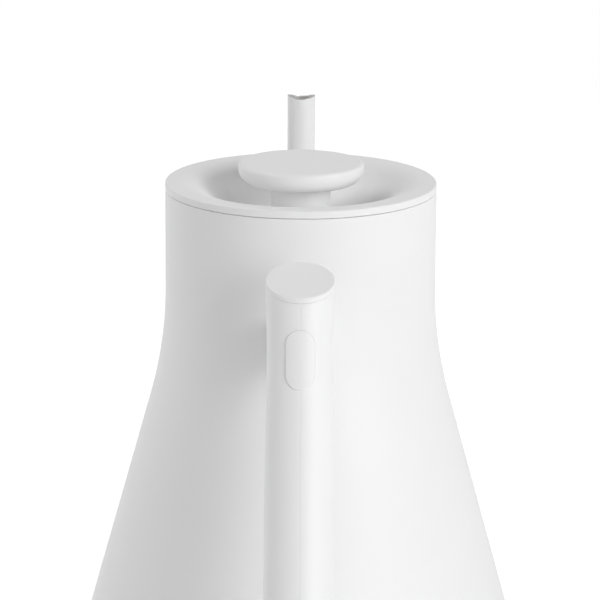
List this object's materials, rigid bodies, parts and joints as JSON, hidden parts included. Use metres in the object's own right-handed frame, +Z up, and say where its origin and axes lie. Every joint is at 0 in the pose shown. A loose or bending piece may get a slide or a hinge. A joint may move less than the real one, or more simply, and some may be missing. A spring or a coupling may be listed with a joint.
{
  "type": "stovetop kettle",
  "caption": "Gooseneck stovetop kettle with a conical body, flush bowl-shaped lid with a mushroom knob, leaning round grip and a sprung release button.",
  "frame": {"origin": "centre of the flat disc that the kettle rests on", "axes": "+Z up along the body's axis, +Y towards the spout, -Y towards the handle, +X to the right seen from the handle"},
  "size_m": [0.1488, 0.245, 0.1724],
  "materials": {
    "white_coat": "fine matte powder coat",
    "steel": "brushed",
    "core_metal": "satin",
    "white_plastic": "matte",
    "silicone": "matte",
    "bush_plastic": "satin"
  },
  "bodies": {
    "kettle": {"body_shell": "white_coat", "neck_ring": "steel", "base_floor": "steel", "base_core": "core_metal", "base_cap": "steel", "spout_tube": "white_coat", "spout_collar": "white_coat", "handle_bracket": "steel", "arm_cover": "white_plastic", "arm_gasket": "silicone", "arm_washer": "steel", "arm_bolt": "steel", "rod_bush": "bush_plastic", "grip_left": "white_plastic", "grip_right": "white_plastic", "grip_top_cap": "white_plastic", "grip_bottom_cap": "white_plastic", "bottom_screw": "steel"},
    "lid": {"lid_shell": "white_coat", "lid_liner": "steel", "lid_gasket": "silicone", "knob_cap": "white_plastic", "knob_stem": "white_plastic", "stem_seal": "silicone", "stem_nut": "steel", "whistle_lower_disc": "steel", "whistle_spacer": "steel", "whistle_upper_disc": "steel"},
    "release": {"vent_button": "white_plastic", "push_rod": "steel", "button_spring": "steel", "valve_disc": "steel", "valve_seal": "silicone", "valve_nut": "steel"}
  },
  "joints": [
    {"name": "lid_lift", "type": "slide", "parent": "kettle", "child": "lid", "axis": [0, 0, 1], "range_m": [0, 0.06]},
    {"name": "button_press", "type": "slide", "parent": "kettle", "child": "release", "axis": [0, 1, 0], "range_m": [0, 0.0018], "stiffness_N_per_m": 400, "deforming": ["button_spring"]}
  ]
}
